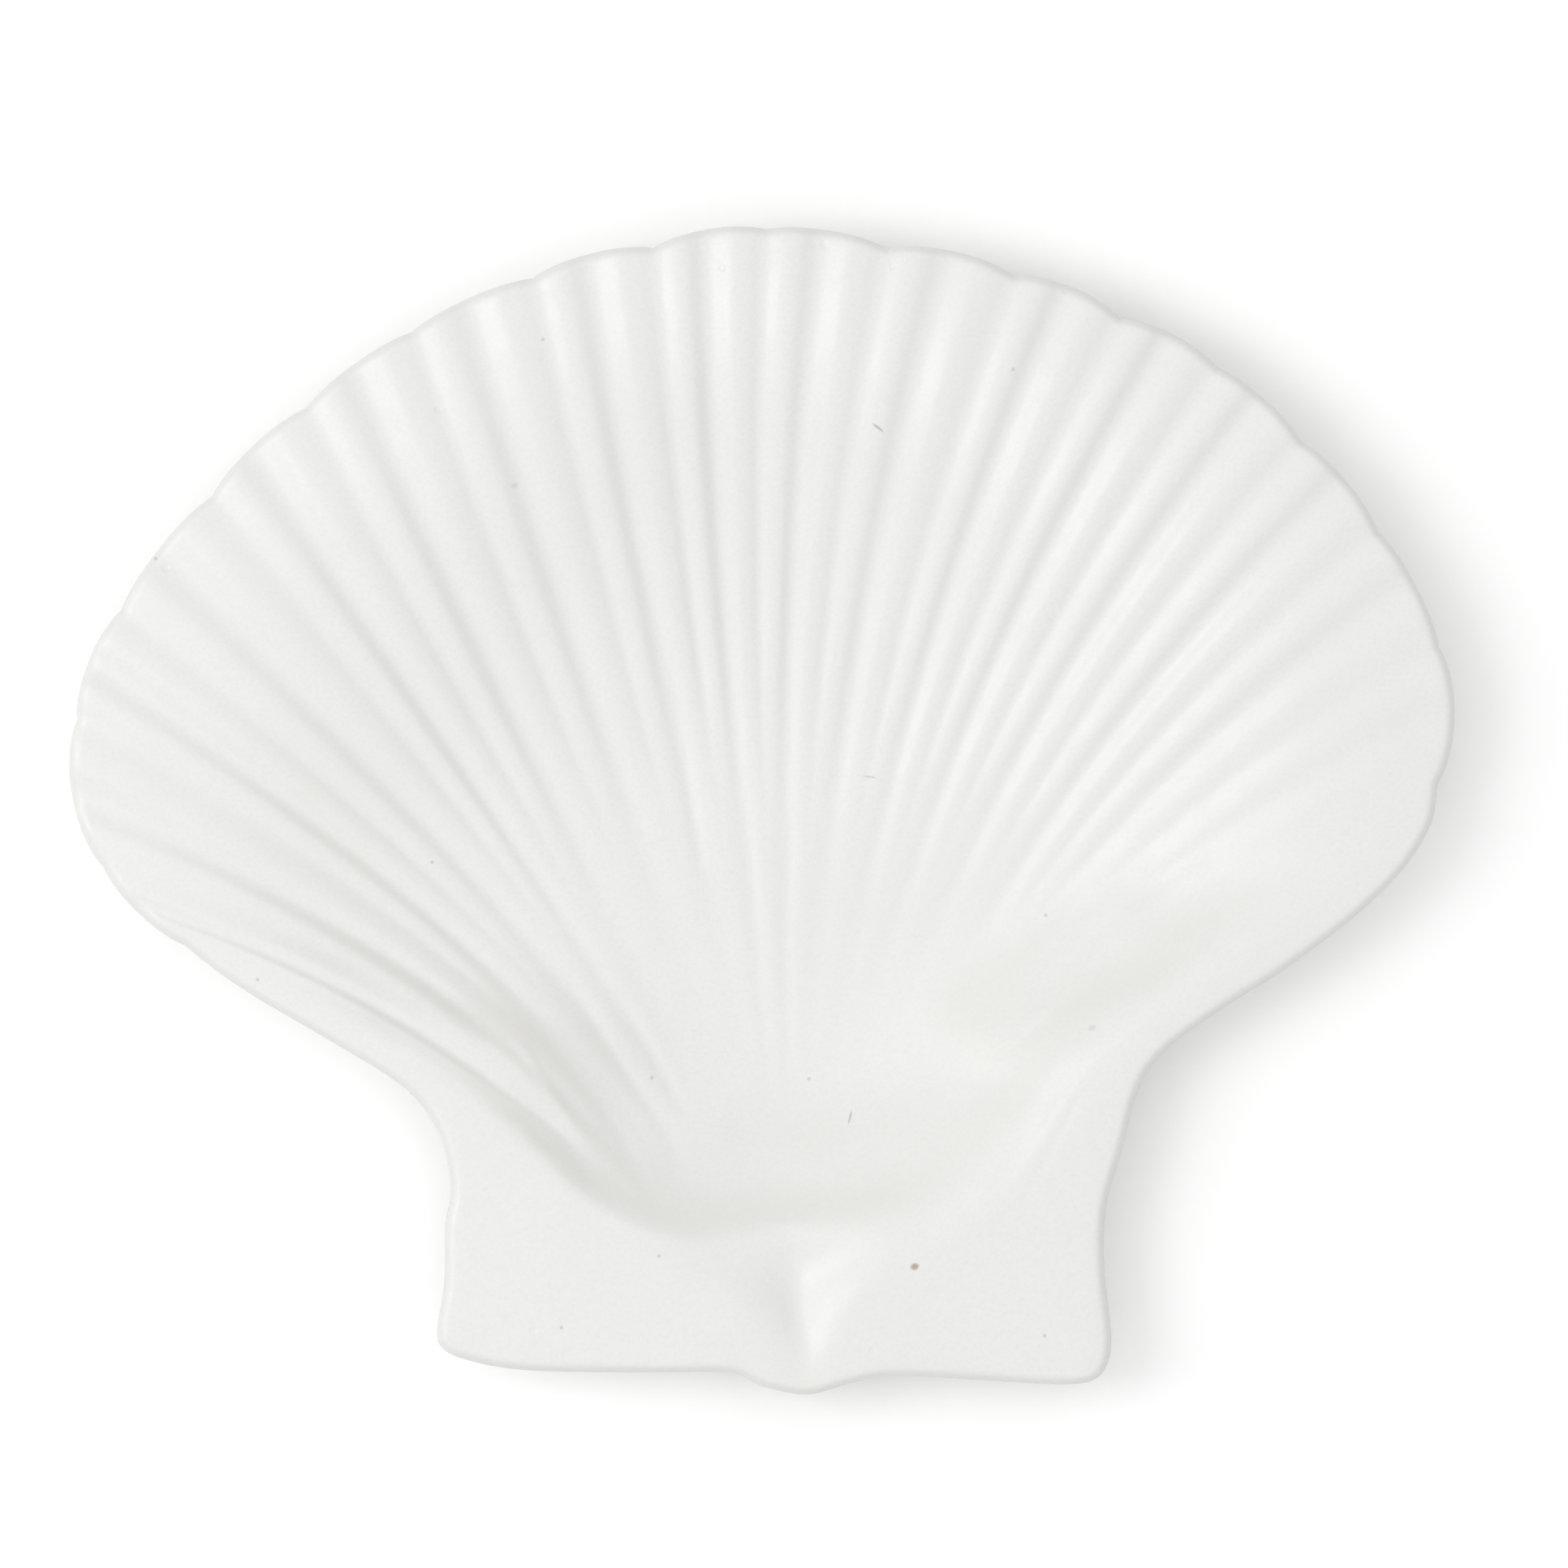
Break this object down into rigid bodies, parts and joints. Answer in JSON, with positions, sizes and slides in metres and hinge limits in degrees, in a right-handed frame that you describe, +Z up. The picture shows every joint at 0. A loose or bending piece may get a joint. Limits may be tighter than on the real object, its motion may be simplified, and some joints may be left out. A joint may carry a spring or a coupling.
{
  "type": "scallop shell platter",
  "caption": "Shallow ceramic platter shaped like a scallop shell, with a ribbed scalloped fan, flat ears, a beak hollow and a foot ring.",
  "frame": {"origin": "centre of the outline in plan, on the table plane under the foot ring", "axes": "+X across the fan towards the right ear's side of the picture, +Y from the beak towards the top of the fan, +Z up out of the hollow"},
  "size_m": [0.3, 0.253, 0.026],
  "materials": {
    "white_glaze": "satin white glaze over pale stoneware, thinner and warmer on the edges"
  },
  "bodies": {
    "root": {"shell_platter": "white_glaze"}
  },
  "joints": []
}
